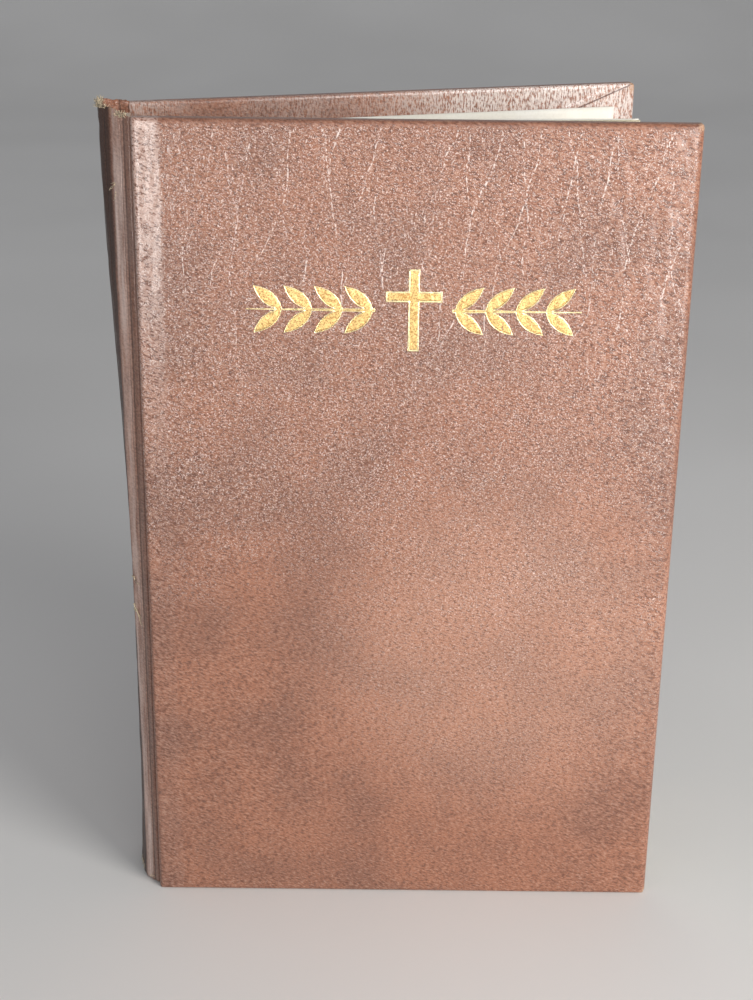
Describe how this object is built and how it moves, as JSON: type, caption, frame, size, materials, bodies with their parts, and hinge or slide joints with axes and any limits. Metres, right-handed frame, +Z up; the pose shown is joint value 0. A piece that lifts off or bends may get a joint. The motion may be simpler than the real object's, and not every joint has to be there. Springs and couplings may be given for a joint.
{
  "type": "bible",
  "caption": "Hardback book of scripture in worn brown leatherette, standing on its tail with its covers opened in a narrow V. Covers, leaves and flyleaves turn on the spine.",
  "frame": {"origin": "centre of the bounding box's base, on the surface the open book stands on", "axes": "+Z up along the spine, +X from the spine to the fore-edge, front cover facing -Y"},
  "size_m": [0.1448, 0.0648, 0.216],
  "materials": {
    "leather": "grained bonded leather, semi-gloss, worn",
    "greyboard": "matte",
    "spine_card": "matte",
    "endpaper": "matte",
    "leaves": "matte",
    "gauze": "open weave",
    "band_cloth": "woven",
    "gold_foil": "stamped metal leaf, granular"
  },
  "bodies": {
    "spine": {"spine_leather": "leather", "spine_inlay": "spine_card", "spine_gauze": "gauze", "spine_lining": "spine_card", "headband": "band_cloth", "tailband": "band_cloth"},
    "front_joint": {"front_joint_leather": "leather", "front_joint_gauze": "gauze"},
    "front_cover": {"front_cover_leather": "leather", "front_board": "greyboard", "front_pastedown": "endpaper", "foil_cross": "gold_foil", "foil_spray_left": "gold_foil", "foil_spray_right": "gold_foil"},
    "back_joint": {"back_joint_leather": "leather", "back_joint_gauze": "gauze"},
    "back_cover": {"back_cover_leather": "leather", "back_board": "greyboard", "back_pastedown": "endpaper"},
    "section_01": {"page_section_01": "leaves"},
    "section_02": {"page_section_02": "leaves"},
    "section_03": {"page_section_03": "leaves"},
    "section_04": {"page_section_04": "leaves"},
    "section_05": {"page_section_05": "leaves"},
    "section_06": {"page_section_06": "leaves"},
    "section_07": {"page_section_07": "leaves"},
    "section_08": {"page_section_08": "leaves"},
    "section_09": {"page_section_09": "leaves"},
    "section_10": {"page_section_10": "leaves"},
    "section_11": {"page_section_11": "leaves"},
    "section_12": {"page_section_12": "leaves"},
    "front_flyleaf": {"front_flyleaf": "endpaper"},
    "back_flyleaf": {"back_flyleaf": "endpaper"}
  },
  "joints": [
    {"name": "front_joint_fold", "type": "hinge", "parent": "spine", "child": "front_joint", "pos_m": [-0.0696, -0.02605, 0], "axis": [0, 0, -1], "range_deg": [-0.61, 89.41]},
    {"name": "front_cover_hinge", "type": "hinge", "parent": "front_joint", "child": "front_cover", "pos_m": [-0.06496, -0.0293, 0], "axis": [0, 0, -1], "range_deg": [-0.6, 89.4]},
    {"name": "back_joint_fold", "type": "hinge", "parent": "spine", "child": "back_joint", "pos_m": [-0.07213, -0.01432, 0], "axis": [0, 0, 1], "range_deg": [-7.91, 82.11]},
    {"name": "back_cover_hinge", "type": "hinge", "parent": "back_joint", "child": "back_cover", "pos_m": [-0.06811, -0.01033, 0], "axis": [0, 0, 1], "range_deg": [-7.9, 82.1]},
    {"name": "leaf_turn_01", "type": "hinge", "parent": "spine", "child": "section_01", "pos_m": [-0.0646, -0.02682, 0], "axis": [0, 0, -1], "range_deg": [-0.27, 39.35]},
    {"name": "leaf_turn_02", "type": "hinge", "parent": "spine", "child": "section_02", "pos_m": [-0.06515, -0.02558, 0], "axis": [0, 0, -1], "range_deg": [-0.23, 32.19]},
    {"name": "leaf_turn_03", "type": "hinge", "parent": "spine", "child": "section_03", "pos_m": [-0.06564, -0.02434, 0], "axis": [0, 0, -1], "range_deg": [-0.18, 25.04]},
    {"name": "leaf_turn_04", "type": "hinge", "parent": "spine", "child": "section_04", "pos_m": [-0.06608, -0.0231, 0], "axis": [0, 0, -1], "range_deg": [-0.13, 17.89]},
    {"name": "leaf_turn_05", "type": "hinge", "parent": "spine", "child": "section_05", "pos_m": [-0.06646, -0.02185, 0], "axis": [0, 0, -1], "range_deg": [-0.08, 10.74]},
    {"name": "leaf_turn_06", "type": "hinge", "parent": "spine", "child": "section_06", "pos_m": [-0.06678, -0.02061, 0], "axis": [0, 0, -1], "range_deg": [-0.03, 3.59]},
    {"name": "leaf_turn_07", "type": "hinge", "parent": "spine", "child": "section_07", "pos_m": [-0.06705, -0.01937, 0], "axis": [0, 0, 1], "range_deg": [-0.33, 3.29]},
    {"name": "leaf_turn_08", "type": "hinge", "parent": "spine", "child": "section_08", "pos_m": [-0.06726, -0.01812, 0], "axis": [0, 0, 1], "range_deg": [-0.96, 9.86]},
    {"name": "leaf_turn_09", "type": "hinge", "parent": "spine", "child": "section_09", "pos_m": [-0.06742, -0.01687, 0], "axis": [0, 0, 1], "range_deg": [-1.59, 16.43]},
    {"name": "leaf_turn_10", "type": "hinge", "parent": "spine", "child": "section_10", "pos_m": [-0.06753, -0.01562, 0], "axis": [0, 0, 1], "range_deg": [-2.22, 23]},
    {"name": "leaf_turn_11", "type": "hinge", "parent": "spine", "child": "section_11", "pos_m": [-0.06757, -0.01438, 0], "axis": [0, 0, 1], "range_deg": [-2.85, 29.57]},
    {"name": "leaf_turn_12", "type": "hinge", "parent": "spine", "child": "section_12", "pos_m": [-0.06756, -0.01312, 0], "axis": [0, 0, 1], "range_deg": [-3.49, 36.13]},
    {"name": "front_flyleaf_turn", "type": "hinge", "parent": "section_01", "child": "front_flyleaf", "pos_m": [-0.06209, -0.02772, 0], "axis": [0, 0, -1], "range_deg": [-0.06, 7.16]},
    {"name": "back_flyleaf_turn", "type": "hinge", "parent": "section_12", "child": "back_flyleaf", "pos_m": [-0.06515, -0.01197, 0], "axis": [0, 0, 1], "range_deg": [-0.64, 6.58]}
  ],
  "couplings": [
    {"joint": "front_joint_fold", "follows": "front_cover_hinge", "ratio": 1},
    {"joint": "back_joint_fold", "follows": "back_cover_hinge", "ratio": 1},
    {"joint": "leaf_turn_01", "follows": "front_cover_hinge", "ratio": 0.44},
    {"joint": "leaf_turn_02", "follows": "front_cover_hinge", "ratio": 0.36},
    {"joint": "leaf_turn_03", "follows": "front_cover_hinge", "ratio": 0.28},
    {"joint": "leaf_turn_04", "follows": "front_cover_hinge", "ratio": 0.2},
    {"joint": "leaf_turn_05", "follows": "front_cover_hinge", "ratio": 0.12},
    {"joint": "leaf_turn_06", "follows": "front_cover_hinge", "ratio": 0.04},
    {"joint": "leaf_turn_07", "follows": "back_cover_hinge", "ratio": 0.04},
    {"joint": "leaf_turn_08", "follows": "back_cover_hinge", "ratio": 0.12},
    {"joint": "leaf_turn_09", "follows": "back_cover_hinge", "ratio": 0.2},
    {"joint": "leaf_turn_10", "follows": "back_cover_hinge", "ratio": 0.28},
    {"joint": "leaf_turn_11", "follows": "back_cover_hinge", "ratio": 0.36},
    {"joint": "leaf_turn_12", "follows": "back_cover_hinge", "ratio": 0.44},
    {"joint": "front_flyleaf_turn", "follows": "front_cover_hinge", "ratio": 0.08},
    {"joint": "back_flyleaf_turn", "follows": "back_cover_hinge", "ratio": 0.08}
  ]
}
